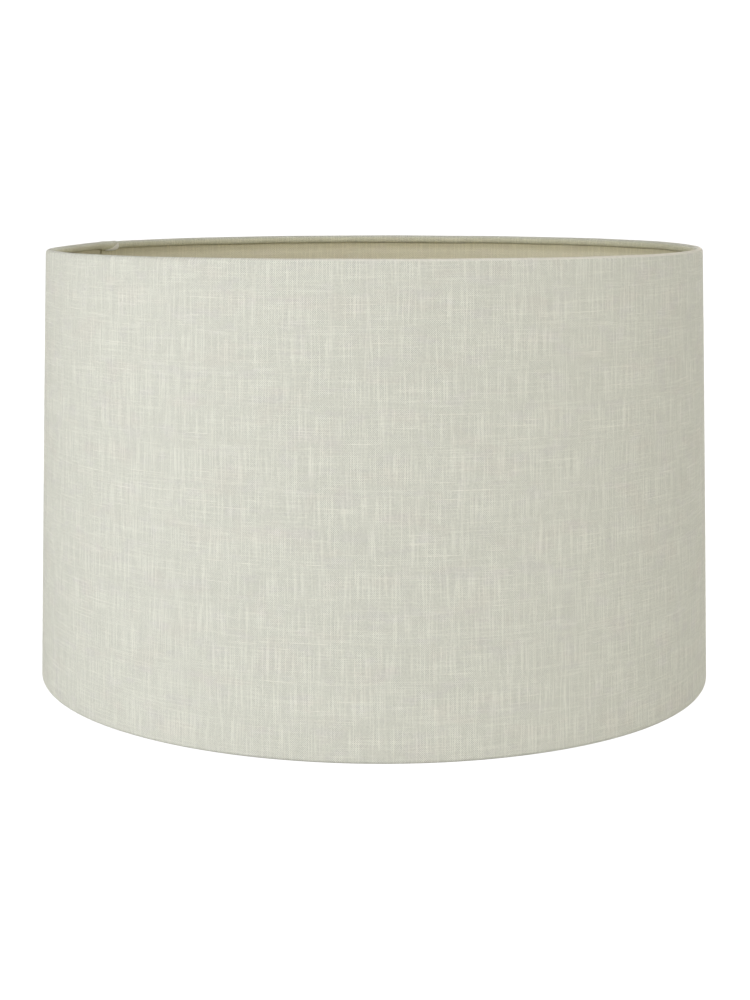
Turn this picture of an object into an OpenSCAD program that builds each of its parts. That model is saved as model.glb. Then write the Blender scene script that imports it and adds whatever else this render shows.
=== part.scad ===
// Drum lamp shade: slub linen over a stiff panel, rolled round two wire rings,
// with a three-arm fitter on the lower ring and a lift-out reducer ring.
// The origin is the centre of the circle on which the lower rim stands, with +Z up.

/* [Shade] */
// Outside diameter at the lower rim
base_d = 450; // [300:1:600]
// Outside diameter at the upper rim
top_d = 428; // [280:1:600]
// Height from the lower rim to the upper rim
shade_h = 284; // [150:1:400]

/* [Wall layers] */
// Thickness of the linen cover
linen_t = 0.5; // [0.3:0.05:1]
// Thickness of the stiff panel behind the linen
panel_t = 0.4; // [0.25:0.05:1]
// Thickness of the inner lining
lining_t = 0.35; // [0.2:0.05:1]
// Thickness of the double-sided tape on the rings and under the seam
tape_t = 0.2; // [0.1:0.05:0.4]
// Glue line between two layers
glue_gap = 0.05; // [0.03:0.01:0.1]

/* [Seams and hems] */
// Direction of the joint in panel and lining, from +X towards +Y
seam_angle = 156; // [0:1:359]
// How far the end of the linen laps on past that joint
seam_lap_w = 17; // [8:1:30]
// How far the end of the lining laps on past that joint
lining_lap_w = 6; // [4:1:15]
// Width of the fold that joins an overlap to its layer
fold_w = 0.8; // [0.5:0.1:2]
// Gap where the two ends of the stiff panel meet
panel_joint_w = 0.6; // [0.2:0.1:2]
// How far the linen turns round each ring, in degrees
hem_turn = 305; // [270:1:315]
// Clear space round each arm where it comes through the hem
hem_slit_gap = 0.4; // [0.2:0.1:1]

/* [Rings] */
// Wire diameter of the upper and lower rings
ring_wire_d = 3.5; // [2:0.1:6]

/* [Fitter] */
// Height of the reducer's seat on the fitter ring above the lower rim
seat_h = 30; // [20:1:80]
// Diameter of the hole in the fitter ring
fitter_hole_d = 42; // [30:0.5:60]
// Width of the flat seat round that hole
fitter_seat_w = 6; // [4:0.5:12]
// Sheet thickness of the fitter ring
fitter_t = 1.5; // [1:0.1:3]
// Wire diameter of the arms
arm_wire_d = 3; // [2:0.1:5]
// Slope of each arm where it leaves the lower ring, in degrees
arm_slope = 50; // [35:1:70]
// Bend radius of each arm, on the wire's centre line
arm_bend_r = 10; // [5:1:20]
// How much fatter the wire is in the bend than along the straights
bend_swell = 0.03; // [0.02:0.01:0.1]
// Direction of the first arm, from +X towards +Y
first_arm_angle = 90; // [0:1:119]
// How far each weld sinks one piece into the other
weld_sink = 0.3; // [0.1:0.05:0.5]
// Lip of the fitter ring above and below each arm
weld_margin = 1; // [0.5:0.1:3]

/* [Reducer ring] */
// Diameter of the lampholder hole
reducer_hole_d = 29; // [20:0.5:36]
// How far the flange reaches past the fitter's hole
reducer_flange_w = 3; // [2:0.1:4]
// Thickness of the flange, the side wall and the floor
reducer_t = 1.6; // [1:0.1:2.5]
// Depth of the floor's underside below the seat
reducer_depth = 4.6; // [3:0.1:8]
// Clearance between the side wall and the fitter's hole
reducer_side_gap = 0.3; // [0.2:0.05:0.6]
// Clearance between the flange and its seat
reducer_seat_gap = 0.05; // [0.02:0.01:0.1]

/* [Hidden] */
$fn = 180;
wire_fn = 48;
arc_steps = 24;
arm_count = 3;

// The hem's roll: ring wire, tape, glue and linen, each round the last
ring_r = ring_wire_d / 2;
taped_r = ring_r + tape_t;
hem_inner_r = taped_r + glue_gap;
roll_r = hem_inner_r + linen_t;

// Centres of the two rolls in the profile plane, where x is the radius and y is the height
base_ring = [base_d / 2 - roll_r, roll_r];
top_ring_at = [top_d / 2 - roll_r, shade_h - roll_r];

// Lean of the wall from upright, and the heights between which it is straight
wall_lean = atan2(base_ring.x - top_ring_at.x, top_ring_at.y - base_ring.y);
wall_z0 = 2 * roll_r;
wall_z1 = shade_h - 2 * roll_r;

// Depth of each layer's outer face below the outside of the linen
panel_depth = linen_t + glue_gap;
lining_depth = panel_depth + panel_t + glue_gap;
lining_lap_depth = lining_depth + lining_t + glue_gap;
seam_tape_depth = -glue_gap - tape_t;
seam_lap_depth = seam_tape_depth - glue_gap - linen_t;

// Fitter
arm_r = arm_wire_d / 2;
fitter_r = fitter_hole_d / 2 + fitter_seat_w;
lip_h = arm_wire_d + 2 * weld_margin;
arm_z = seat_h - lip_h / 2;
slit_w = arm_wire_d + 2 * hem_slit_gap;

// Each arm's start on the ring, and its corner before that is bent round
arm_start = ring_r - weld_sink;
arm_rise = arm_z - base_ring.y;
arm_corner_x = base_ring.x - arm_rise / tan(arm_slope);

// The straights run on into the bend as far as its swell still hides them
bend_overlap = sqrt(arm_bend_r * bend_swell);
bend_reach = arm_bend_r * tan(arm_slope / 2);
bend_x = arm_corner_x - bend_reach;
leg_l = arm_rise / sin(arm_slope) - bend_reach + bend_overlap - arm_start;

// Reducer ring
side_r = fitter_hole_d / 2 - reducer_side_gap;
flange_r = fitter_hole_d / 2 + reducer_flange_w;
flange_z = seat_h + reducer_seat_gap;
floor_z = seat_h - reducer_depth;

// Points along an arc in the profile plane
function arc(centre, r, from, to) =
    [for (i = [0 : arc_steps])
        let (a = from + (to - from) * i / arc_steps) centre + r * [cos(a), sin(a)]];

// Radius of the surface at a given depth below the outside of the wall, at height z
function wall_r(z, depth) =
    base_ring.x + (roll_r - depth) / cos(wall_lean) - (z - base_ring.y) * tan(wall_lean);

// Turn that a width along the wall takes up, in degrees
function turn(width) = 360 * width / (PI * base_d);

// One layer of the straight wall, over the given turn from a start that is counted from the joint
module wall_layer(depth, thickness, start = 0, angle = 360) {
    rotate(seam_angle + start)
        rotate_extrude(angle = angle)
            polygon([[wall_r(wall_z0, depth), wall_z0],
                     [wall_r(wall_z1, depth), wall_z1],
                     [wall_r(wall_z1, depth + thickness), wall_z1],
                     [wall_r(wall_z0, depth + thickness), wall_z0]]);
}

// Places its children at one arm, with +X pointing outwards along the arm
module at_arm(i) {
    rotate(first_arm_angle + i * 360 / arm_count) children();
}

// Places its children on the lower ring, with +Z along the rising leg of an arm
module along_leg() {
    translate([base_ring.x, 0, base_ring.y]) rotate([0, arm_slope - 90, 0]) children();
}

// Slits that let the arms through the lower hem
module hem_slits() {
    for (i = [0 : arm_count - 1])
        at_arm(i) along_leg() translate([-slit_w / 2, -slit_w / 2, 0]) cube([slit_w, slit_w, 2 * roll_r]);
}

module linen_cover() {
    color("#d9d7c9") {
        difference() {
            rotate_extrude()
                polygon(concat(
                    arc(base_ring, roll_r, wall_lean - hem_turn, wall_lean),
                    arc(top_ring_at, roll_r, wall_lean, wall_lean + hem_turn),
                    arc(top_ring_at, hem_inner_r, wall_lean + hem_turn, wall_lean),
                    arc(base_ring, hem_inner_r, wall_lean, wall_lean - hem_turn)));
            hem_slits();
        }
        wall_layer(seam_lap_depth, linen_t, -turn(seam_lap_w), turn(seam_lap_w));
        wall_layer(seam_lap_depth, linen_t / 2 - seam_lap_depth, -turn(fold_w), turn(fold_w));
    }
}

module seam_tape() {
    color("#e8e4d4")
        wall_layer(seam_tape_depth, tape_t, -turn(seam_lap_w - fold_w), turn(seam_lap_w - 3 * fold_w));
}

module backing_panel() {
    color("#f2f1ea")
        wall_layer(panel_depth, panel_t, turn(panel_joint_w), 360 - turn(panel_joint_w));
}

module inner_lining() {
    color("#c3b99b") {
        wall_layer(lining_depth, lining_t);
        wall_layer(lining_lap_depth, lining_t, -turn(lining_lap_w), turn(lining_lap_w));
        wall_layer(lining_depth + lining_t / 2, lining_t + glue_gap, -turn(lining_lap_w), turn(fold_w));
    }
}

module wire_ring(at) {
    color("#e9e7df")
        rotate_extrude() translate(at) circle(r = ring_r, $fn = wire_fn);
}

// Tape round a ring's wire, over the given turn
module ring_tape(at, angle = 360) {
    color("#e8e4d4")
        rotate_extrude(angle = angle)
            translate(at)
                difference() {
                    circle(r = taped_r, $fn = wire_fn);
                    circle(r = ring_r, $fn = wire_fn);
                }
}

module top_ring() {
    wire_ring(top_ring_at);
}

module bottom_ring() {
    wire_ring(base_ring);
}

module top_ring_tape() {
    ring_tape(top_ring_at);
}

// One strip from each arm's slit to the next
module bottom_ring_tape() {
    for (i = [0 : arm_count - 1])
        at_arm(i) rotate(turn(slit_w) / 2) ring_tape(base_ring, 360 / arm_count - turn(slit_w));
}

module fitter_arm(i) {
    color("#e9e7df")
        at_arm(i) {
            // Leg that rises from the ring
            along_leg()
                translate([0, 0, arm_start])
                    cylinder(h = leg_l, r = arm_r, $fn = wire_fn);
            // Bend
            translate([bend_x, 0, arm_z - arm_bend_r])
                rotate([90, 0, 0])
                    rotate(90 - arm_slope)
                        rotate_extrude(angle = arm_slope)
                            translate([arm_bend_r, 0]) circle(r = arm_r + bend_swell, $fn = wire_fn);
            // Level run to the fitter ring
            translate([bend_x + bend_overlap, 0, arm_z])
                rotate([0, -90, 0])
                    cylinder(h = bend_x + bend_overlap - fitter_r + weld_sink, r = arm_r, $fn = wire_fn);
        }
}

module fitter_ring() {
    color("#e9e7df")
        rotate_extrude()
            polygon([[fitter_hole_d / 2, seat_h - fitter_t],
                     [fitter_r - fitter_t, seat_h - fitter_t],
                     [fitter_r - fitter_t, seat_h - lip_h],
                     [fitter_r, seat_h - lip_h],
                     [fitter_r, seat_h],
                     [fitter_hole_d / 2, seat_h]]);
}

module reducer_ring() {
    color("#f4f4f0")
        rotate_extrude()
            polygon([[reducer_hole_d / 2, floor_z],
                     [side_r, floor_z],
                     [side_r, flange_z],
                     [flange_r, flange_z],
                     [flange_r, flange_z + reducer_t],
                     [side_r - reducer_t, flange_z + reducer_t],
                     [side_r - reducer_t, floor_z + reducer_t],
                     [reducer_hole_d / 2, floor_z + reducer_t]]);
}

linen_cover();
seam_tape();
backing_panel();
inner_lining();
top_ring();
bottom_ring();
top_ring_tape();
bottom_ring_tape();
fitter_arm(0);  // fitter_arm_1
fitter_arm(1);  // fitter_arm_2
fitter_arm(2);  // fitter_arm_3
fitter_ring();
reducer_ring();
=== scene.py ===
import math

import bmesh
import bpy
import numpy as np
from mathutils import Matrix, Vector


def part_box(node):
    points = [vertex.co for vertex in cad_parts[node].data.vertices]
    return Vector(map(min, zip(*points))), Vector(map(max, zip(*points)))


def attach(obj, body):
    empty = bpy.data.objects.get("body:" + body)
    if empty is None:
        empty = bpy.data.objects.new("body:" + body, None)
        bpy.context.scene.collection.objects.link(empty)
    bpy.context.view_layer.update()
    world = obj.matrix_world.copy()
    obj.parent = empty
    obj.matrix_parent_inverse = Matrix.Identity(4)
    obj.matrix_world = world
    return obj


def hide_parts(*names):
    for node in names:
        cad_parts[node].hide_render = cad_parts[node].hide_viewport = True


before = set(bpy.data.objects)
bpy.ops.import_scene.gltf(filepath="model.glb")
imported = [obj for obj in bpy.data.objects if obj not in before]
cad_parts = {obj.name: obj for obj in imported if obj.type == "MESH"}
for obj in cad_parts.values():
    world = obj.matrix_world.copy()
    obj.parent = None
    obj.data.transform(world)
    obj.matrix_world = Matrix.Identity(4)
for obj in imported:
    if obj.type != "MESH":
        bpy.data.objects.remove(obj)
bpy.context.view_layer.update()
MM = 0.001


# ---------------------------------------------------------------- sizes, from the frame

def ring_of(node):
    """Radius to the wire's centre, height of the centre, and wire radius of a ring."""
    low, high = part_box(node)
    wire = (high.z - low.z) / 2
    return (high.x - low.x) / 2 - wire, (high.z + low.z) / 2, wire


def direction_of(node):
    """Angle of a node's middle as seen from above, from +X towards +Y."""
    low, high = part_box(node)
    return math.atan2(low.y + high.y, low.x + high.x) % math.tau


TOP_R, TOP_Z, WIRE_R = ring_of("top_ring")
BASE_R, BASE_Z, _ = ring_of("bottom_ring")
ARM_ANGLES = [direction_of(f"fitter_arm_{i}") for i in (1, 2, 3)]
FITTER_LOW, FITTER_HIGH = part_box("fitter_ring")
REDUCER_LOW, REDUCER_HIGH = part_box("reducer_ring")
SHADE_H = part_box("linen_cover")[1].z

# Thicknesses of the layers; the tape under the lap is pressed thin
LINEN = 0.5 * MM
PANEL = 0.4 * MM
LINING = 0.35 * MM
RING_TAPE = 0.2 * MM
LAP_FILM = 0.08 * MM
GLUE = 0.05 * MM
ROLL_R = SHADE_H - TOP_Z - LINEN / 2            # centre of the linen's thickness
LEAN = math.atan2(BASE_R - TOP_R, TOP_Z - BASE_Z)
HEM_TURN = math.radians(305)

JOINT = math.radians(156)                       # where the ends of panel and lining meet
LAP_W = 17 * MM                                 # how far the linen laps past that joint
LAP_LIFT = LINEN + LAP_FILM
LINING_LAP_W = 6 * MM
MEAN_R = (BASE_R + TOP_R) / 2 + ROLL_R
LAP_EDGE = JOINT - LAP_W / MEAN_R
WALL_L = math.hypot(BASE_R - TOP_R, TOP_Z - BASE_Z)

ARM_WIRE_R = 1.5 * MM
ARM_SLOPE = math.radians(50)
ARM_BEND_R = 10 * MM
ARM_Z = (FITTER_LOW.z + FITTER_HIGH.z) / 2
WELD_SINK = 0.3 * MM

# Spacing of the threads that run up each cloth and of those that run round it
LINEN_PITCH = (0.58 * MM, 0.60 * MM)
LINING_PITCH = (0.70 * MM, 0.74 * MM)


# ---------------------------------------------------------------- shapes by formula

def smooth(x, low, high):
    """0 below low, 1 above high, and an even S between."""
    t = np.clip((np.asarray(x, float) - low) / (high - low), 0, 1)
    return t * t * (3 - 2 * t)


def wander(angle, waves):
    """Sum of slow waves round the shade, each (turns, size, phase)."""
    return sum(size * np.cos(turns * np.asarray(angle) + phase) for turns, size, phase in waves)


# Unevenness of hand work, as waves: rims and wall in metres, the hem's wave as a share
TOP_RISE = [(0, -0.06 * MM, 0.0), (1, 0.306 * MM, -0.316), (2, 0.35 * MM, -2.79),
            (3, 0.17 * MM, -1.15), (4, 0.05 * MM, -0.96), (16, 0.05 * MM, 1.0)]
BASE_RISE = [(1, 0.29 * MM, -3.10), (2, 1.43 * MM, -1.98), (3, 0.47 * MM, 3.0)]
RIM_SPREAD = [(3, 0.10 * MM, 1.2), (5, 0.08 * MM, 0.2), (11, 0.05 * MM, 2.7)]
HEM_WAVE = [(9, 0.5, 0.3), (23, 0.35, 1.9), (41, 0.25, 4.4), (77, 0.15, 0.8)]
WALL_BOW = [(4, 0.12 * MM, 0.4), (9, 0.07 * MM, 2.2)]

# Dents in the upper rim beside the lap: direction, half width and depth
DENTS = [(math.radians(153.5), math.radians(5), 0.42 * MM),
         (math.radians(176), math.radians(22), 0.75 * MM)]

# The upper hem stands loose by HEM_BULGE, from HEM_LOOSE_FROM round the roll, but not near the lap
HEM_BULGE = 0.6 * MM
HEM_LOOSE_FROM = 2.4
HEM_TIGHT_AT = math.radians(170)
HEM_TIGHT_REACH = (math.radians(15), math.radians(50))
LOWER_SWELL = 0.10 * MM                         # ripple of each hem's edge
UPPER_SWELL = 0.16 * MM
NOTCH_TURN = math.radians(125)                  # how far the lower hem is cut back at an arm


def away_from(angle, centre):
    """Turn from the centre direction, either way round, in radians."""
    return np.abs((np.asarray(angle) - centre + math.pi) % math.tau - math.pi)


def dents(angle):
    """How far the upper rim is pressed down at each angle."""
    return sum(depth * (1 - smooth(away_from(angle, centre), 0, half)) for centre, half, depth in DENTS)


def top_roll(angle):
    """Radius and height of the centre of the upper roll."""
    return TOP_R + wander(angle, RIM_SPREAD), TOP_Z + wander(angle, TOP_RISE) - dents(angle)


def base_roll(angle):
    """Radius and height of the centre of the lower roll."""
    return BASE_R + 0.5 * wander(angle, RIM_SPREAD), BASE_Z + wander(angle, BASE_RISE)


def roll_at(roll, angle, turn, reach):
    """Radius and height of a point on a roll, turned from straight out, reach from its centre."""
    r, z = roll(angle)
    return r + reach * np.cos(turn), z + reach * np.sin(turn)


def hem_bulge(angle, turn):
    """How far the upper hem stands off its ring, inside the shade and away from the lap."""
    loose = smooth(away_from(angle, HEM_TIGHT_AT), *HEM_TIGHT_REACH)
    return HEM_BULGE * loose * np.sin(np.clip((turn - HEM_LOOSE_FROM) * 1.1, 0, math.pi))


def wall_at(angle, share, out):
    """Radius and height of a point part way up the wall, out from the middle of the linen."""
    low_r, low_z = roll_at(base_roll, angle, LEAN, ROLL_R + out)
    high_r, high_z = roll_at(top_roll, angle, LEAN, ROLL_R + out)
    bow = np.sin(math.pi * np.asarray(share)) * wander(angle, WALL_BOW)
    return low_r * (1 - share) + high_r * share + bow, low_z * (1 - share) + high_z * share


def sheet_mesh(name, points, uv):
    """Plain mesh of quads from points[row, column] with a UV map in metres."""
    rows, columns = points.shape[:2]
    index = np.arange(rows * columns).reshape(rows, columns)
    quads = np.stack([index[:-1, :-1], index[:-1, 1:], index[1:, 1:], index[1:, :-1]], -1)
    quads = quads.reshape(-1, 4)
    mesh = bpy.data.meshes.new(name)
    mesh.from_pydata(points.reshape(-1, 3).tolist(), [], quads.tolist())
    layer = mesh.uv_layers.new(name="UVMap")
    layer.data.foreach_set("uv", uv.reshape(-1, 2)[quads.ravel()].astype(np.float32).ravel())
    mesh.polygons.foreach_set("use_smooth", [True] * len(mesh.polygons))
    return mesh


def place(name, mesh, body, material, replaces=()):
    """Object for a finished mesh, riding on its body."""
    piece = bpy.data.objects.new(name, mesh)
    bpy.context.scene.collection.objects.link(piece)
    mesh.materials.clear()
    mesh.materials.append(material)
    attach(piece, body)
    if replaces:
        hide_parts(*replaces)
    return piece


def applied(mesh, kind, **settings):
    """The mesh with one modifier applied to it."""
    holder = bpy.data.objects.new("holder", mesh)
    bpy.context.scene.collection.objects.link(holder)
    modifier = holder.modifiers.new(kind, kind)
    for key, value in settings.items():
        setattr(modifier, key, value)
    depsgraph = bpy.context.evaluated_depsgraph_get()
    made = bpy.data.meshes.new_from_object(holder.evaluated_get(depsgraph))
    bpy.data.objects.remove(holder)
    made.name = mesh.name
    return made


def turned(angle, r, z):
    """Points in space for profile radii and heights at the given angles."""
    return np.stack([r * np.cos(angle), r * np.sin(angle), z + 0 * angle], -1)


def closed(mesh):
    """The mesh with doubled points joined and its faces turned outward."""
    work = bmesh.new()
    work.from_mesh(mesh)
    bmesh.ops.remove_doubles(work, verts=work.verts, dist=0.002 * MM)
    bmesh.ops.recalc_face_normals(work, faces=work.faces)
    work.to_mesh(mesh)
    work.free()
    return mesh


def flat_uv(u, v, shape):
    """UV grid from values that depend on the column and on the row."""
    return np.stack([np.broadcast_to(u, shape), np.broadcast_to(v, shape)], -1)


# ---------------------------------------------------------------- material tools

CLOTH_SHEEN = 0.12
WEAVE_RELIEF = 0.16 * MM
# The crown's painted highlight comes in between these angles along the strip, and stays up to the strip's end
HIGHLIGHT_FROM = 3.9
HIGHLIGHT_TO = 5.0


class Nodes:
    """Short names for building a node tree."""

    def __init__(self, tree):
        self.tree = tree

    def add(self, kind, **settings):
        node = self.tree.nodes.new(kind)
        for key, value in settings.items():
            setattr(node, key, value)
        return node

    def feed(self, socket, value):
        if isinstance(value, bpy.types.NodeSocket):
            self.tree.links.new(value, socket)
        else:
            socket.default_value = value

    def math(self, operation, *values):
        node = self.add("ShaderNodeMath", operation=operation)
        for socket, value in zip(node.inputs, values):
            self.feed(socket, value)
        return node.outputs[0]

    def span(self, value, low, high, to_low=0.0, to_high=1.0, kind="SMOOTHSTEP"):
        node = self.add("ShaderNodeMapRange", interpolation_type=kind)
        for socket, given in zip(node.inputs, (value, low, high, to_low, to_high)):
            self.feed(socket, given)
        return node.outputs[0]

    def point(self, x, y, z=0.0):
        node = self.add("ShaderNodeCombineXYZ")
        for socket, value in zip(node.inputs, (x, y, z)):
            self.feed(socket, value)
        return node.outputs[0]

    def noise(self, vector, scale=1.0, detail=2.0, roughness=0.5):
        node = self.add("ShaderNodeTexNoise", noise_dimensions="3D")
        self.feed(node.inputs["Vector"], vector)
        node.inputs["Scale"].default_value = scale
        node.inputs["Detail"].default_value = detail
        node.inputs["Roughness"].default_value = roughness
        return node.outputs["Fac"]

    def blend(self, amount, a, b, kind="MIX"):
        node = self.add("ShaderNodeMix", data_type="RGBA", blend_type=kind)
        self.feed(node.inputs["Factor"], amount)
        self.feed(node.inputs["A"], a)
        self.feed(node.inputs["B"], b)
        return node.outputs["Result"]


def new_material(name):
    """Material, its node helper and its Principled shader."""
    material = bpy.data.materials.new(name)
    material.use_nodes = True
    nodes = Nodes(material.node_tree)
    shader = material.node_tree.nodes["Principled BSDF"]
    return material, nodes, shader


def bump(nodes, shader, height, distance, strength=1.0):
    node = nodes.add("ShaderNodeBump")
    nodes.feed(node.inputs["Height"], height)
    node.inputs["Distance"].default_value = distance
    node.inputs["Strength"].default_value = strength
    nodes.feed(shader.inputs["Normal"], node.outputs["Normal"])


def weighed(n, parts):
    """Sum of parts, each (part, its mean, its share), which is 0 where all are at their means."""
    value = 0.0
    for part, mean, share in parts:
        value = n.math("ADD", n.math("MULTIPLY", n.math("SUBTRACT", part, mean), share), value)
    return value


def plain_weave(n, uv, u, v, pitch):
    """Tone and height of a plain weave whose threads swell into slubs, and its threads' own height."""
    # Threads drift a little, so that the rows are never ruled lines
    drift = n.math("MULTIPLY", n.math("SUBTRACT", n.noise(uv, 30, 1), 0.5), 1.2)
    across = n.math("ADD", n.math("DIVIDE", u, pitch[0]), drift)
    up = n.math("ADD", n.math("DIVIDE", v, pitch[1]), drift)

    # Warp over weft in turn: the product of the two waves has the sign of a chequer
    warp_wave = n.math("SINE", n.math("MULTIPLY", across, math.pi))
    weft_wave = n.math("SINE", n.math("MULTIPLY", up, math.pi))
    over = n.span(n.math("MULTIPLY", warp_wave, weft_wave), -0.3, 0.3)
    warp_round = n.math("MULTIPLY", n.math("ABSOLUTE", warp_wave), over)
    weft_round = n.math("MULTIPLY", n.math("ABSOLUTE", weft_wave), n.math("SUBTRACT", 1.0, over))
    thread = n.math("ADD", warp_round, weft_round)

    # Each thread has its own tone, which wanders along it and swells into slubs here and there
    warp_row = n.math("FLOOR", across)
    weft_row = n.math("FLOOR", up)
    apart = 1.37
    warp_at = n.point(n.math("MULTIPLY", warp_row, apart), n.math("MULTIPLY", v, 45))
    weft_at = n.point(n.math("MULTIPLY", u, 48), n.math("MULTIPLY", weft_row, apart), 7.3)
    warp_tone = n.noise(warp_at, 1, 0)
    weft_tone = n.noise(weft_at, 1, 0)
    warp_slub = n.span(warp_tone, 0.54, 0.70)
    weft_slub = n.span(weft_tone, 0.56, 0.72)
    knot = n.add("ShaderNodeTexWhiteNoise", noise_dimensions="2D")
    n.feed(knot.inputs["Vector"], n.point(warp_row, weft_row))
    grain = n.noise(uv, 900, 2, 0.6)

    tone = weighed(n, [(warp_tone, 0.5, 0.26), (weft_tone, 0.5, 0.10), (knot.outputs[0], 0.5, 0.14),
                       (grain, 0.5, 0.3), (thread, 0.64, 0.8), (over, 0.5, 0.38),
                       (warp_slub, 0.05, 0.13), (weft_slub, 0.05, 0.09)])
    slubs = n.math("ADD", warp_slub, weft_slub)
    height = weighed(n, [(thread, 0.0, 1.0), (slubs, 0.0, 0.7), (grain, 0.0, 0.5)])
    return tone, height, thread


def dye_patches(n, u, v, colour):
    """Faint patches, wider than tall, where the dye took a little differently."""
    lilac = (0.975, 0.955, 1.0, 1)
    pink = (1.0, 0.97, 0.975, 1)
    for wide, layer, patch in [(45, 0.0, lilac), (26, 4.0, pink)]:
        at = n.point(n.math("MULTIPLY", u, wide), n.math("MULTIPLY", v, 2 * wide), layer)
        blot = n.span(n.noise(at, 1, 3, 0.6), 0.5, 0.68)
        colour = n.blend(n.math("MULTIPLY", blot, 0.5), colour, patch, "MULTIPLY")
    return colour


def crown_highlight(n, uv, u, v, crown):
    """Mask of the painted highlight and added sheen on the crown of the upper roll, where it is bent sharply,
    on the side of the shade that the light catches.
    """
    first, full, fading, gone = crown
    highlight = n.math("MULTIPLY", n.span(v, first, full), n.span(v, gone, fading))
    highlight = n.math("MULTIPLY", highlight, n.span(u, HIGHLIGHT_FROM * MEAN_R, HIGHLIGHT_TO * MEAN_R))
    return n.math("MULTIPLY", highlight, n.span(n.noise(uv, 420, 2), 0.2, 0.8, 0.55, 1.0))


def husk_specks(n, uv, colour):
    """A few dark specks of husk spun into the yarn."""
    specks = n.add("ShaderNodeTexVoronoi", feature="F1")
    n.feed(specks.inputs["Vector"], uv)
    specks.inputs["Scale"].default_value = 34
    chosen = n.add("ShaderNodeSeparateColor")
    n.feed(chosen.inputs[0], specks.outputs["Color"])
    speck = n.math("MULTIPLY", n.span(specks.outputs["Distance"], 0.022, 0.008),
                   n.math("GREATER_THAN", chosen.outputs[0], 0.86))
    return n.blend(n.math("MULTIPLY", speck, 0.6), colour, (0.16, 0.12, 0.07, 1))


def woven(name, light, dark, pitch, shade_tint=None, crown=None):
    """Plain-weave cloth with slubs on its own threads, on a UV map in metres.

    The shade tint is painted shade, a darker colour that comes in with height: first value, last value and
    colour.
    crown is where the painted highlight starts, is full, starts to fade and is gone, up the cloth.
    """
    material, n, shader = new_material(name)
    uv = n.add("ShaderNodeUVMap", uv_map="UVMap").outputs[0]
    split = n.add("ShaderNodeSeparateXYZ")
    n.feed(split.inputs[0], uv)
    u, v = split.outputs[0], split.outputs[1]

    tone, height, thread = plain_weave(n, uv, u, v, pitch)
    colour = n.blend(n.span(tone, -0.5, 0.5, kind="LINEAR"), dark, light)
    colour = dye_patches(n, u, v, colour)
    if shade_tint:
        # Painted shade: the cloth is made darker from a given height on
        colour = n.blend(n.span(v, shade_tint[0], shade_tint[1]), colour, shade_tint[2], "MULTIPLY")
    cloth_face(shader)
    if crown:
        highlight = crown_highlight(n, uv, u, v, crown)
        # Painted highlight: a lighter, warmer colour and more sheen on the crown, where the light catches the
        # bent cloth
        colour = n.blend(n.math("MULTIPLY", highlight, 0.95), colour, (1.0, 0.975, 0.87, 1))
        sheen = n.math("ADD", n.math("MULTIPLY", highlight, 0.85), CLOTH_SHEEN)
        n.feed(shader.inputs["Sheen Weight"], sheen)
        shader.inputs["Sheen Tint"].default_value = (1.0, 0.93, 0.80, 1)
    n.feed(shader.inputs["Base Color"], husk_specks(n, uv, colour))
    n.feed(shader.inputs["Roughness"], n.span(thread, 0, 1, 0.95, 0.82))
    bump(n, shader, height, WEAVE_RELIEF, 0.8)
    return material


def cloth_face(shader):
    """Soft, matt face of spun yarn."""
    shader.inputs["Specular IOR Level"].default_value = 0.25
    shader.inputs["Sheen Weight"].default_value = CLOTH_SHEEN
    shader.inputs["Sheen Roughness"].default_value = 0.5


def spun_yarn(name, light, dark):
    """Loose yarn, with its fibres running both ways along it."""
    material, n, shader = new_material(name)
    at = n.add("ShaderNodeTexCoord").outputs["Object"]
    streak = n.noise(at, 420, 3, 0.6)
    n.feed(shader.inputs["Base Color"], n.blend(n.span(streak, 0.3, 0.7), dark, light))
    n.feed(shader.inputs["Roughness"], n.span(streak, 0.3, 0.7, 0.95, 0.85))
    bump(n, shader, n.noise(at, 1800, 2), 0.05 * MM, 0.5)
    cloth_face(shader)
    return material


def powder_coat(name, colour, peel=0.02 * MM):
    """Baked-on paint: orange peel, faint grime and a satin face."""
    material, n, shader = new_material(name)
    at = n.add("ShaderNodeTexCoord").outputs["Object"]
    grime = n.span(n.noise(at, 60, 4, 0.6), 0.35, 0.75)
    shaded = tuple(c * 0.86 for c in colour[:3]) + (1,)
    n.feed(shader.inputs["Base Color"], n.blend(grime, colour, shaded))
    fine = n.noise(at, 900, 2, 0.5)
    n.feed(shader.inputs["Roughness"], n.span(n.noise(at, 150, 3), 0.3, 0.7, 0.34, 0.5))
    bump(n, shader, fine, peel, 0.5)
    return material


def mottled_plastic(name, colour, roughness, mottle=0.05):
    """Smooth plastic with a faint mottle, for sheet, tape and moulding."""
    material, n, shader = new_material(name)
    at = n.add("ShaderNodeTexCoord").outputs["Object"]
    cloud = n.noise(at, 90, 3, 0.6)
    shaded = tuple(c * (1 - 2 * mottle) for c in colour[:3]) + (1,)
    n.feed(shader.inputs["Base Color"], n.blend(cloud, colour, shaded))
    n.feed(shader.inputs["Roughness"], n.span(cloud, 0.3, 0.7, roughness - 0.08, roughness + 0.08))
    bump(n, shader, n.noise(at, 500, 2), 0.03 * MM, 0.4)
    return material


# ---------------------------------------------------------------- cloth pieces

def lap_lift(angle):
    """How far the upper layer of the lap stands off the wall, from its edge at LAP_EDGE onward."""
    into = (angle - LAP_EDGE) * MEAN_R
    return LAP_LIFT * (1 - smooth(into, LAP_W - 2 * MM, LAP_W + 6 * MM))


def cloth_columns(start, end, step, places, reach):
    """Column angles: even steps, with fine ones within reach of each special place."""
    fine = 0.0022                               # in radians, about half a millimetre of wall
    even = np.linspace(start, end, int(round((end - start) / step)) + 1)
    extra = [p + turn for p in places for turn in np.arange(-reach, reach + fine / 2, fine)]
    kept = [a for a in extra if start < a < end]
    angles = np.sort(np.concatenate([even, kept]))
    wide = np.concatenate([[True], np.diff(angles) > fine * 0.45])
    angles = angles[wide]
    angles[-1] = end
    return angles


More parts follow.
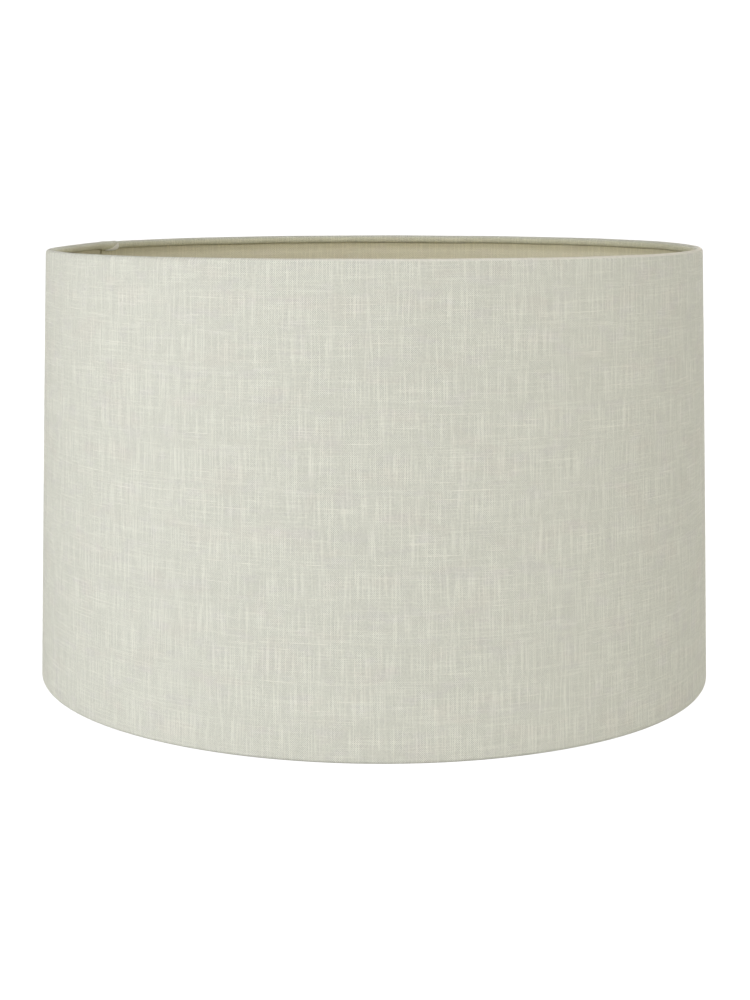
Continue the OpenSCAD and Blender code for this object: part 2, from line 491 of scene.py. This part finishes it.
def arm_notch(angle):
    """How much of the lower hem's turn is cut away beside each arm, from 0 to 1."""
    half = (ARM_WIRE_R + 0.5 * MM) / BASE_R
    cut = np.zeros_like(angle)
    for arm in ARM_ANGLES:
        cut = np.maximum(cut, 1 - smooth(away_from(angle, arm), half * 0.9, half * 1.5))
    return cut


def linen_cover(material):
    """One strip: lower hem, wall and upper hem, lapped over its own start."""
    last = JOINT + math.tau
    places = [LAP_EDGE, LAP_EDGE + math.tau, JOINT, last]
    places += [a + t for a in ARM_ANGLES for t in (0, math.tau)]
    angle = cloth_columns(LAP_EDGE, last, math.radians(0.75), places, 0.02)

    # The first LAP_W of the strip is the upper layer, lifted over the strip's tail
    lift = lap_lift(angle)
    wave = wander(angle, HEM_WAVE)
    turns = np.linspace(0, 1, 21)
    rows = []
    along = []

    # Lower hem, from its raw edge inside the shade down round the ring to the wall
    lower_turn = HEM_TURN - arm_notch(angle) * NOTCH_TURN + 0.05 * wave
    for t in turns:
        at = LEAN - lower_turn * (1 - t)
        swell = LOWER_SWELL * wave * np.sin(np.clip(-at - math.pi * 0.6, 0, math.pi))
        rows.append(roll_at(base_roll, angle, at, ROLL_R + lift + swell))
        along.append(-(1 - t) * HEM_TURN * ROLL_R)

    for t in np.linspace(0, 1, 30)[1:-1]:
        rows.append(wall_at(angle, t, lift))
        along.append(t * WALL_L)

    # Upper hem, from the wall up over the ring and down inside
    upper_turn = HEM_TURN + 0.08 * wave
    for t in turns:
        at = LEAN + upper_turn * t
        swell = UPPER_SWELL * wave * np.sin(np.clip(at - math.pi * 0.75, 0, math.pi))
        rows.append(roll_at(top_roll, angle, at, ROLL_R + lift + swell + hem_bulge(angle, at)))
        along.append(WALL_L + t * HEM_TURN * ROLL_R)

    points = np.array([turned(angle, r, z) for r, z in rows])
    uv = flat_uv(angle * MEAN_R, np.array(along)[:, None], points.shape[:2])
    mesh = sheet_mesh("linen_cover_cloth", points, uv)
    mesh = applied(mesh, "SOLIDIFY", thickness=LINEN, offset=0.0)
    return place("linen_cover_cloth", mesh, "shade", material, ["linen_cover"])


def corner_flap(material):
    """Mitred corner of the lap, folded down the inside of the upper hem."""
    long = 13 * MM
    gape = 0.6 * MM
    share = np.linspace(0, 1, 18)
    down = np.linspace(0, 1, 10)[:, None]
    angle = LAP_EDGE + share * long / TOP_R

    # Degrees round the roll of the flap's upper and lower edges, from its wide end to its point
    upper = np.radians(143 + (255 - 143) * share ** 0.8)
    lower = np.radians(229 + (259 - 229) * share)
    turn = upper * (1 - down) + lower * down
    hang = gape * down ** 2 * np.sin(math.pi * share ** 0.7)
    r, z = roll_at(top_roll, angle, turn, ROLL_R + LAP_LIFT + LINEN + GLUE + hem_bulge(angle, turn) + hang)
    points = turned(angle, r, z)
    uv = np.stack([np.broadcast_to(angle * MEAN_R, turn.shape), WALL_L + turn * ROLL_R], -1)
    mesh = sheet_mesh("lap_corner_flap", points, uv)
    mesh = applied(mesh, "SOLIDIFY", thickness=LINEN, offset=0.0)
    return place("lap_corner_flap", mesh, "shade", material)


def wall_sheet(name, start, end, out, thickness, lap=0.0, curl=0.0):
    """One layer beside the linen, between the rolls; its end laps over its start and may curl inward."""
    angle = cloth_columns(start, end, math.radians(0.9), [start, end], 0.03)
    back = (end - angle) * MEAN_R
    ramp = 4 * MM
    gap = 0.1 * MM
    inward = curl * (1 - smooth(back, 0, ramp))
    if lap:
        inward = inward + (thickness + gap) * (1 - smooth(back, lap - 1 * MM, lap + ramp))
    margin = (ROLL_R + LINEN / 2) / WALL_L
    shares = np.linspace(margin, 1 - margin, 28)
    points = np.array([turned(angle, *wall_at(angle, t, out - inward)) for t in shares])
    uv = flat_uv(angle * MEAN_R, (shares * WALL_L)[:, None], points.shape[:2])
    mesh = sheet_mesh(name, points, uv)
    return applied(mesh, "SOLIDIFY", thickness=thickness, offset=0.0)


# ---------------------------------------------------------------- rings, arms and fitter

def hoop(name, roll, reach, start=0.0, end=math.tau, columns=300, sides=24):
    """Tube that follows a roll's centre, closed on itself if it goes all the way round."""
    angle = np.linspace(start, end, columns + 1)
    turns = np.linspace(0, math.tau, sides + 1)
    points = np.array([turned(angle, *roll_at(roll, angle, t, reach)) for t in turns])
    uv = flat_uv(angle * BASE_R, (turns * reach)[:, None], points.shape[:2])
    return closed(sheet_mesh(name, points, uv))


def ring_tapes(tape):
    """Double-sided tape round each ring: one strip above, three between the arms below."""
    reach = WIRE_R + GLUE / 2 + RING_TAPE / 2
    upper = applied(hoop("top_ring_tape_strip", top_roll, reach), "SOLIDIFY",
                    thickness=RING_TAPE, offset=0.0)
    place("top_ring_tape_strip", upper, "shade", tape, ["top_ring_tape"])
    half = (ARM_WIRE_R + 0.4 * MM) / BASE_R
    strips = bmesh.new()
    for i, arm in enumerate(ARM_ANGLES):
        end = arm + math.tau / 3
        strip = hoop(f"strip_{i}", base_roll, reach, arm + half, end - half, 100)
        strips.from_mesh(applied(strip, "SOLIDIFY", thickness=RING_TAPE, offset=0.0))
    mesh = bpy.data.meshes.new("bottom_ring_tape_strips")
    strips.to_mesh(mesh)
    strips.free()
    place("bottom_ring_tape_strips", mesh, "shade", tape, ["bottom_ring_tape"])


def lathed(name, corners, soft, columns=160):
    """Solid of revolution from the corners (radius, height) of its profile, each rounded by soft."""
    profile = []
    count = len(corners)
    for i, (r, z) in enumerate(corners):
        here = np.array([r, z])
        to_last = np.array(corners[i - 1]) - here
        to_next = np.array(corners[(i + 1) % count]) - here
        before = here + to_last / np.hypot(*to_last) * soft
        after = here + to_next / np.hypot(*to_next) * soft
        for t in np.linspace(0, 1, 5):
            profile.append(before * (1 - t) ** 2 + here * 2 * t * (1 - t) + after * t ** 2)
    profile.append(profile[0])
    profile = np.array(profile)
    length = np.concatenate([[0], np.cumsum(np.hypot(*np.diff(profile, axis=0).T))])
    angle = np.linspace(0, math.tau, columns + 1)
    points = np.array([turned(angle, r, z) for r, z in profile])
    return closed(sheet_mesh(name, points, flat_uv(angle * corners[0][0], length[:, None], points.shape[:2])))


def tube(name, path, radius, sides=20):
    """Round wire along a path of points, with domed ends."""
    path = np.asarray(path, float)
    tangent = np.gradient(path, axis=0)
    tangent /= np.linalg.norm(tangent, axis=1)[:, None]
    side = np.cross(tangent, [0.0, 0.0, 1.0])
    side /= np.linalg.norm(side, axis=1)[:, None]
    above = np.cross(side, tangent)
    turns = np.linspace(0, math.tau, sides + 1)[:, None, None]
    radius = np.full(len(path), radius)
    radius[0] = radius[-1] = 0
    points = path + radius[:, None] * (np.cos(turns) * side + np.sin(turns) * above)
    run = np.concatenate([[0], np.cumsum(np.linalg.norm(np.diff(path, axis=0), axis=1))])
    return closed(sheet_mesh(name, points, flat_uv(run, turns[:, 0], points.shape[:2])))


def fitter_arm(number, material):
    """Arm that rises from the lower ring, bends and runs level to the fitter ring."""
    angle = ARM_ANGLES[number - 1]
    ring_r, ring_z = base_roll(angle)
    slope = np.array([-math.cos(ARM_SLOPE), math.sin(ARM_SLOPE)])
    foot = np.array([ring_r, ring_z])
    start = foot + slope * (WIRE_R - WELD_SINK)
    corner = foot + slope * (ARM_Z - ring_z) / slope[1]
    end = np.array([FITTER_HIGH.x - WELD_SINK, ARM_Z])
    bend = ARM_BEND_R * math.tan(ARM_SLOPE / 2)
    centre = corner + np.array([-bend, -ARM_BEND_R])
    turns = np.linspace(math.pi / 2 - ARM_SLOPE, math.pi / 2, 17)
    arc = [centre + ARM_BEND_R * np.array([math.cos(t), math.sin(t)]) for t in turns]
    profile = [start, *(start + (arc[0] - start) * t for t in (0.001, 0.3, 0.6, 0.9)), *arc]
    profile += [arc[-1] + (end - arc[-1]) * t for t in (0.02, 0.35, 0.7, 0.999, 1.0)]
    path = [(r * math.cos(angle), r * math.sin(angle), z) for r, z in profile]
    name = f"fitter_arm_{number}_wire"
    return place(name, tube(name, path, ARM_WIRE_R), "shade", material,
                 [f"fitter_arm_{number}"])


def fitter_rings(coat, moulding):
    """Pressed steel fitter ring, and the moulded reducer ring that lies in it."""
    hole = 21 * MM
    sheet = 1.5 * MM
    outer = FITTER_HIGH.x
    low, high = FITTER_LOW.z, FITTER_HIGH.z
    corners = [(hole, high - sheet), (outer - sheet, high - sheet), (outer - sheet, low), (outer, low),
               (outer, high), (hole, high)]
    mesh = lathed("fitter_ring_pressed", corners, 0.45 * MM)
    place("fitter_ring_pressed", mesh, "shade", coat, ["fitter_ring"])

    wall = 1.6 * MM
    inner = 14.5 * MM
    side = hole - 0.3 * MM
    flange = REDUCER_HIGH.x
    low, high = REDUCER_LOW.z, REDUCER_HIGH.z
    corners = [(inner, low), (side, low), (side, high - wall), (flange, high - wall), (flange, high),
               (side - wall, high), (side - wall, low + wall), (inner, low + wall)]
    mesh = lathed("reducer_ring_moulded", corners, 0.35 * MM)
    place("reducer_ring_moulded", mesh, "reducer", moulding, ["reducer_ring"])


# ---------------------------------------------------------------- repeated small shapes

class Tree:
    """Short names for building a Geometry Nodes tree."""

    def __init__(self, name, settings):
        self.group = bpy.data.node_groups.new(name, "GeometryNodeTree")
        face = self.group.interface
        face.new_socket("Geometry", in_out="INPUT", socket_type="NodeSocketGeometry")
        face.new_socket("Geometry", in_out="OUTPUT", socket_type="NodeSocketGeometry")
        for label, (kind, _) in settings.items():
            face.new_socket(label, in_out="INPUT", socket_type=kind)
        self.start = self.group.nodes.new("NodeGroupInput")
        self.end = self.group.nodes.new("NodeGroupOutput")
        self.settings = settings

    def given(self, label):
        return self.start.outputs[label]

    def add(self, kind, inputs=None, **settings):
        node = self.group.nodes.new(kind)
        for key, value in settings.items():
            setattr(node, key, value)
        for socket, value in (inputs or {}).items():
            self.feed(node.inputs[socket], value)
        return node

    def feed(self, socket, value):
        if isinstance(value, bpy.types.Node):
            value = next(s for s in value.outputs if s.enabled)
        if isinstance(value, bpy.types.NodeSocket):
            self.group.links.new(value, socket)
        else:
            socket.default_value = value

    def random(self, kind, low, high, seed):
        """Random value of one kind, between low and high, for each point."""
        node = self.add("FunctionNodeRandomValue", data_type=kind)
        active = [s for s in node.inputs if s.enabled]
        if kind == "BOOLEAN":
            self.feed(next(s for s in active if s.name == "Probability"), low)
        else:
            self.feed(next(s for s in active if s.name == "Min"), low)
            self.feed(next(s for s in active if s.name == "Max"), high)
        node.inputs["Seed"].default_value = seed
        return next(s for s in node.outputs if s.enabled)

    def finish(self, geometry):
        """Ends the tree with real geometry in one material."""
        real = self.add("GeometryNodeRealizeInstances", {"Geometry": geometry})
        dressed = self.add("GeometryNodeSetMaterial", {"Geometry": real, "Material": self.given("Material")})
        self.feed(self.end.inputs[0], dressed)

    def made(self, base):
        """Plain mesh from the tree, grown on a base mesh."""
        holder = bpy.data.objects.new("holder", base)
        bpy.context.scene.collection.objects.link(holder)
        modifier = holder.modifiers.new(self.group.name, "NODES")
        modifier.node_group = self.group
        for item in self.group.interface.items_tree:
            if item.in_out == "INPUT" and item.name in self.settings:
                modifier[item.identifier] = self.settings[item.name][1]
        depsgraph = bpy.context.evaluated_depsgraph_get()
        mesh = bpy.data.meshes.new_from_object(holder.evaluated_get(depsgraph))
        bpy.data.objects.remove(holder)
        mesh.name = self.group.name
        return mesh


def strip_base(long, wide):
    """Flat strip with one corner at the origin, for things to be sown on."""
    mesh = bpy.data.meshes.new("strip")
    mesh.from_pydata([(0, 0, 0), (long, 0, 0), (long, wide, 0), (0, wide, 0)], [], [(0, 1, 2, 3)])
    return mesh


def laid(mesh, to_space):
    """Moves a mesh made flat onto the shade, keeping its flat place as its UV map."""
    count = len(mesh.vertices)
    flat = np.empty(count * 3, np.float32)
    mesh.vertices.foreach_get("co", flat)
    flat = flat.reshape(-1, 3).astype(float)
    corner = np.empty(len(mesh.loops), np.int32)
    mesh.loops.foreach_get("vertex_index", corner)
    for layer in list(mesh.uv_layers):
        mesh.uv_layers.remove(layer)
    layer = mesh.uv_layers.new(name="UVMap")
    layer.data.foreach_set("uv", flat[corner, :2].astype(np.float32).ravel())
    mesh.vertices.foreach_set("co", to_space(flat).astype(np.float32).ravel())
    mesh.polygons.foreach_set("use_smooth", [True] * len(mesh.polygons))
    mesh.update()
    return mesh


def slub_threads(yarn):
    """Thick places in the yarn, which stand out of the linen's face both ways."""
    settings = {"Density": ("NodeSocketFloat", 3600.0), "Seed": ("NodeSocketInt", 7),
                "Shortest": ("NodeSocketFloat", 3 * MM), "Longest": ("NodeSocketFloat", 17 * MM),
                "Width": ("NodeSocketFloat", 0.24 * MM), "Relief": ("NodeSocketFloat", 0.13 * MM),
                "Upright": ("NodeSocketFloat", 0.36), "Material": ("NodeSocketMaterial", yarn)}
    tree = Tree("slub_threads", settings)
    sown = tree.add("GeometryNodeDistributePointsOnFaces",
                    {"Mesh": tree.given("Geometry"), "Density": tree.given("Density"),
                     "Seed": tree.given("Seed")})
    ball = tree.add("GeometryNodeMeshUVSphere", {"Segments": 5, "Rings": 8, "Radius": 1.0})
    lying = tree.add("GeometryNodeTransform", {"Geometry": ball, "Rotation": (0, math.pi / 2, 0)})
    upright = tree.random("BOOLEAN", tree.given("Upright"), None, 11)
    quarter = tree.add("ShaderNodeMath", {0: upright, 1: math.pi / 2}, operation="MULTIPLY")
    tilt = tree.add("ShaderNodeMath", {0: quarter, 1: tree.random("FLOAT", -0.012, 0.012, 5)},
                    operation="ADD")
    spin = tree.add("ShaderNodeCombineXYZ", {2: tilt})
    turn = tree.add("FunctionNodeEulerToRotation", {0: spin})
    half = tree.random("FLOAT", 0.5, 1.0, 23)
    long = tree.random("FLOAT", tree.given("Shortest"), tree.given("Longest"), 31)
    wide = tree.add("ShaderNodeMath", {0: half, 1: tree.given("Width")}, operation="MULTIPLY")
    tall = tree.add("ShaderNodeMath", {0: half, 1: tree.given("Relief")}, operation="MULTIPLY")
    size = tree.add("ShaderNodeCombineXYZ", {0: long, 1: wide, 2: tall})
    threads = tree.add("GeometryNodeInstanceOnPoints",
                       {"Points": sown.outputs["Points"], "Instance": lying, "Rotation": turn, "Scale": size})
    tree.finish(threads)
    edge = 19 * MM
    mesh = tree.made(strip_base(math.tau * MEAN_R, WALL_L - 2 * edge))

    def onto_wall(flat):
        angle = LAP_EDGE + 8 * MM / MEAN_R + flat[:, 0] / MEAN_R
        share = (edge + flat[:, 1]) / WALL_L
        r, z = wall_at(angle, share, LINEN / 2 + lap_lift(angle) + flat[:, 2])
        return turned(angle, r, z)

    return place("slub_threads", laid(mesh, onto_wall), "shade", yarn)


def stray_fibres(yarn):
    """Loose fibres that stand off the upper hem."""
    settings = {"Density": ("NodeSocketFloat", 18000.0), "Seed": ("NodeSocketInt", 3),
                "Thickness": ("NodeSocketFloat", 0.03 * MM), "Material": ("NodeSocketMaterial", yarn)}
    tree = Tree("stray_fibres", settings)
    sown = tree.add("GeometryNodeDistributePointsOnFaces",
                    {"Mesh": tree.given("Geometry"), "Density": tree.given("Density"),
                     "Seed": tree.given("Seed")})
    arch = tree.add("GeometryNodeCurveQuadraticBezier",
                    {"Resolution": 6, "Start": (0, 0, -0.1 * MM), "Middle": (0.7 * MM, 0.2 * MM, 0.7 * MM),
                     "End": (1.8 * MM, -0.1 * MM, 0.25 * MM)})
    thin = tree.add("GeometryNodeCurvePrimitiveCircle", {"Resolution": 3, "Radius": tree.given("Thickness")})
    hair = tree.add("GeometryNodeCurveToMesh", {"Curve": arch, "Profile Curve": thin, "Fill Caps": True})
    spin = tree.add("ShaderNodeCombineXYZ", {2: tree.random("FLOAT", 0.0, math.tau, 13)})
    turn = tree.add("FunctionNodeEulerToRotation", {0: spin})
    size = tree.random("FLOAT", 0.4, 1.3, 17)
    hairs = tree.add("GeometryNodeInstanceOnPoints",
                     {"Points": sown.outputs["Points"], "Instance": hair, "Rotation": turn, "Scale": size})
    tree.finish(hairs)
    mesh = tree.made(strip_base(math.tau * TOP_R, math.pi * ROLL_R * 0.8))

    def onto_roll(flat):
        angle = flat[:, 0] / TOP_R
        r, z = roll_at(top_roll, angle, 0.35 + flat[:, 1] / ROLL_R, ROLL_R + LINEN / 2 + flat[:, 2])
        return turned(angle, r, z)

    # Two longer ones stand up at the front: direction, rise, lean of the tip, and hook
    tall = [(math.radians(267.5), 2.2 * MM, 0.7 * MM, 0.0),
            (math.radians(266.0), 2.4 * MM, 0.5 * MM, 1.2 * MM)]
    fibres = bmesh.new()
    fibres.from_mesh(laid(mesh, onto_roll))
    for angle, rise, lean, hook in tall:
        r, z = roll_at(top_roll, angle, math.pi / 2, ROLL_R + LINEN / 2)
        foot = np.array([r * math.cos(angle), r * math.sin(angle), z])
        path = [foot + np.array([lean * t + hook * math.sin(math.pi * t), 0.15 * MM * t,
                                 rise * t - 0.1 * MM]) for t in np.linspace(0, 1, 7)]
        fibres.from_mesh(tube("fibre", path, 0.07 * MM, 4))
    fibres.to_mesh(mesh)
    fibres.free()
    mesh.polygons.foreach_set("use_smooth", [True] * len(mesh.polygons))
    return place("stray_fibres", mesh, "shade", yarn)


def weld_beads(coat):
    """Run of weld round both ends of each arm, under the coating."""
    settings = {"Bead": ("NodeSocketFloat", 0.55 * MM), "Round": ("NodeSocketFloat", ARM_WIRE_R + 0.1 * MM),
                "Lumps": ("NodeSocketFloat", 0.5 * MM), "Material": ("NodeSocketMaterial", coat)}
    spots = []
    for angle in ARM_ANGLES:
        ring_r, ring_z = base_roll(angle)
        ends = [(FITTER_HIGH.x + 0.1 * MM, ARM_Z, math.pi / 2),
                (ring_r - math.cos(ARM_SLOPE) * WIRE_R, ring_z + math.sin(ARM_SLOPE) * WIRE_R,
                 ARM_SLOPE - math.pi / 2)]
        for r, z, pitch in ends:
            spots.append(((r * math.cos(angle), r * math.sin(angle), z), (0.0, pitch, angle)))
    base = bpy.data.meshes.new("spots")
    base.from_pydata([spot for spot, _ in spots], [], [])
    aim = base.attributes.new("aim", "FLOAT_VECTOR", "POINT")
    aim.data.foreach_set("vector", np.array([a for _, a in spots], np.float32).ravel())

    tree = Tree("weld_beads", settings)
    loop = tree.add("GeometryNodeCurvePrimitiveCircle", {"Resolution": 28, "Radius": tree.given("Round")})
    section = tree.add("GeometryNodeCurvePrimitiveCircle", {"Resolution": 10, "Radius": tree.given("Bead")})
    bead = tree.add("GeometryNodeCurveToMesh", {"Curve": loop, "Profile Curve": section})
    way = tree.add("GeometryNodeInputNamedAttribute", {"Name": "aim"}, data_type="FLOAT_VECTOR")
    turn = tree.add("FunctionNodeEulerToRotation", {0: way.outputs["Attribute"]})
    beads = tree.add("GeometryNodeInstanceOnPoints",
                     {"Points": tree.given("Geometry"), "Instance": bead, "Rotation": turn})
    real = tree.add("GeometryNodeRealizeInstances", {"Geometry": beads})
    lumps = tree.add("ShaderNodeTexNoise", {"Scale": 700.0, "Detail": 1.0})
    swell = tree.add("ShaderNodeMath", {0: lumps.outputs["Fac"], 1: 0.5}, operation="SUBTRACT")
    push = tree.add("ShaderNodeMath", {0: swell, 1: tree.given("Lumps")}, operation="MULTIPLY")
    normal = tree.add("GeometryNodeInputNormal")
    move = tree.add("ShaderNodeVectorMath", {0: normal.outputs["Normal"], "Scale": push}, operation="SCALE")
    moved = tree.add("GeometryNodeSetPosition", {"Geometry": real, "Offset": move})
    tree.finish(moved)
    mesh = tree.made(base)
    mesh.polygons.foreach_set("use_smooth", [True] * len(mesh.polygons))
    return place("weld_beads", closed(mesh), "shade", coat)


# ---------------------------------------------------------------- studio

def lamp(name, place_at, size, power, colour):
    """Rectangular soft light that faces the middle of the shade."""
    light = bpy.data.lights.new(name, "AREA")
    light.shape = "RECTANGLE"
    light.size, light.size_y = size
    light.energy = power
    light.color = colour
    holder = bpy.data.objects.new(name, light)
    bpy.context.scene.collection.objects.link(holder)
    holder.location = place_at
    way = Vector((0, 0, SHADE_H / 2)) - Vector(place_at)
    holder.rotation_mode = "QUATERNION"
    holder.rotation_quaternion = way.to_track_quat("-Z", "Y")


def white_room():
    """Even light from all round, and pure white behind."""
    world = bpy.data.worlds.new("studio")
    world.use_nodes = True
    bpy.context.scene.world = world
    tree = world.node_tree
    lit = tree.nodes["Background"]
    lit.inputs["Color"].default_value = (1.0, 0.985, 0.955, 1)
    lit.inputs["Strength"].default_value = 0.172
    seen = tree.nodes.new("ShaderNodeBackground")
    seen.inputs["Color"].default_value = (1, 1, 1, 1)
    seen.inputs["Strength"].default_value = 1.1
    ray = tree.nodes.new("ShaderNodeLightPath")
    mix = tree.nodes.new("ShaderNodeMixShader")
    tree.links.new(ray.outputs["Is Camera Ray"], mix.inputs["Fac"])
    tree.links.new(lit.outputs[0], mix.inputs[1])
    tree.links.new(seen.outputs[0], mix.inputs[2])
    tree.links.new(mix.outputs[0], tree.nodes["World Output"].inputs["Surface"])


def white_floor():
    """Plain floor that looks pure white and throws back a soft light."""
    reach = 12.0
    level = -2.2 * MM                           # the lower rim's waves dip a little
    mesh = bpy.data.meshes.new("floor")
    corners = [(-reach, -reach, level), (reach, -reach, level), (reach, reach, level), (-reach, reach, level)]
    mesh.from_pydata(corners, [], [(0, 1, 2, 3)])
    floor = bpy.data.objects.new("floor", mesh)
    bpy.context.scene.collection.objects.link(floor)
    material, n, shader = new_material("white_floor")
    shader.inputs["Base Color"].default_value = (0.5, 0.5, 0.5, 1)
    shader.inputs["Roughness"].default_value = 0.9
    glow = n.add("ShaderNodeEmission")
    glow.inputs["Strength"].default_value = 1.1
    mixed = n.add("ShaderNodeMixShader")
    n.feed(mixed.inputs[0], n.add("ShaderNodeLightPath").outputs["Is Camera Ray"])
    n.feed(mixed.inputs[1], shader.outputs[0])
    n.feed(mixed.inputs[2], glow.outputs[0])
    n.feed(material.node_tree.nodes["Material Output"].inputs["Surface"], mixed.outputs[0])
    mesh.materials.append(material)


# Name, place, size, power and colour of each soft light
LIGHTS = [("key", (-1.5, -2.5, 0.5), (2.4, 1.6), 57.5, (0.995, 1.0, 1.035)),
          ("fill", (2.3, -2.0, 0.4), (2.4, 1.6), 29, (1.03, 1.0, 0.90)),
          ("left", (-2.4, -0.5, 0.5), (2.0, 1.6), 22, (0.99, 1.0, 0.98)),
          ("right", (2.4, -0.5, 0.5), (2.0, 1.6), 17, (1.0, 1.0, 1.0)),
          ("back", (0.5, 2.6, 0.8), (2.6, 1.6), 46, (1.0, 0.985, 0.96)),
          ("overhead", (0.2, 0.1, 2.2), (2.0, 2.0), 5, (1.0, 0.985, 0.95))]
CAMERA_AT = (0.000565, -1.2042, 0.32703)
CAMERA_DOWN = math.radians(10.0807)
CAMERA_LENS = 64.93


def studio():
    """Soft lights all round, and a camera that looks a little down into the shade."""
    scene = bpy.context.scene
    scene.view_settings.view_transform = "Standard"
    scene.view_settings.look = "None"
    white_room()
    white_floor()
    for light in LIGHTS:
        lamp(*light)

    camera = bpy.data.cameras.new("camera")
    camera.lens = CAMERA_LENS
    camera.sensor_width = 36
    holder = bpy.data.objects.new("camera", camera)
    scene.collection.objects.link(holder)
    holder.location = CAMERA_AT
    holder.rotation_euler = (math.pi / 2 - CAMERA_DOWN, 0, 0)
    scene.camera = holder


def shade_cloth():
    """Linen, tape and panel films and lining, from the outside in."""
    # Where on the upper roll the painted highlight on the crown comes and goes
    crown = [WALL_L + math.radians(turn) * ROLL_R for turn in (16, 44, 94, 112)]
    # Painted shade: the linen is darker and warmer inside the upper hem, past the crown
    linen = woven("slub_linen", (1.0, 1.0, 0.885, 1), (0.48, 0.485, 0.415, 1), LINEN_PITCH,
                  shade_tint=(crown[3], crown[3] + 3 * MM, (0.93, 0.905, 0.765, 1)), crown=crown)
    # Painted shadow: the lining is darker just under the upper roll
    lining = woven("lining_weave", (1.0, 0.945, 0.725, 1), (0.62, 0.58, 0.41, 1), LINING_PITCH,
                   shade_tint=(WALL_L - 9.5 * MM, WALL_L - 5.5 * MM, (0.88, 0.87, 0.81, 1)))
    # Painted highlight: the flap's linen is a lighter, warmer copy of the slub linen, where the flap catches
    # the light
    flap_linen = woven("lit_flap_linen", (1.0, 0.985, 0.89, 1), (0.86, 0.835, 0.72, 1), LINEN_PITCH)
    yarn = spun_yarn("slub_yarn", (0.94, 0.93, 0.83, 1), (0.76, 0.75, 0.66, 1))
    tape = mottled_plastic("clear_tape", (0.80, 0.77, 0.66, 1), 0.25)
    panel = mottled_plastic("panel_film", (0.88, 0.87, 0.83, 1), 0.5, 0.03)

    cover = linen_cover(linen)
    flap = corner_flap(flap_linen)
    threads = slub_threads(yarn)
    fibres = stray_fibres(yarn)

    inset = 1 * MM / MEAN_R
    mesh = wall_sheet("seam_tape_film", LAP_EDGE + inset, JOINT - 2 * inset,
                      LINEN / 2 + LAP_FILM / 2, LAP_FILM * 0.9)
    place("seam_tape_film", mesh, "shade", tape, ["seam_tape"])

    depth = LINEN / 2 + GLUE + PANEL / 2
    mesh = wall_sheet("backing_panel_sheet", JOINT - math.tau + 0.6 * inset, JOINT, -depth, PANEL)
    place("backing_panel_sheet", mesh, "shade", panel, ["backing_panel"])

    depth += PANEL / 2 + GLUE + LINING / 2
    start = JOINT - math.tau - LINING_LAP_W / MEAN_R
    mesh = wall_sheet("inner_lining_cloth", start, JOINT, -depth, LINING, LINING_LAP_W, 0.9 * MM)
    piece = place("inner_lining_cloth", mesh, "shade", lining, ["inner_lining"])
    return tape


def frame_parts(tape):
    """Wire rings, their tapes, the arms, the fitter ring and the reducer ring."""
    coat = powder_coat("white_powder_coat", (0.90, 0.90, 0.87, 1))
    moulding = mottled_plastic("white_moulding", (0.93, 0.93, 0.90, 1), 0.42, 0.02)
    for name, roll in [("top_ring", top_roll), ("bottom_ring", base_roll)]:
        mesh = hoop(f"{name}_wire", roll, WIRE_R)
        place(f"{name}_wire", mesh, "shade", coat, [name])
    ring_tapes(tape)
    for number in (1, 2, 3):
        fitter_arm(number, coat)
    weld_beads(coat)
    fitter_rings(coat, moulding)


studio()
frame_parts(shade_cloth())
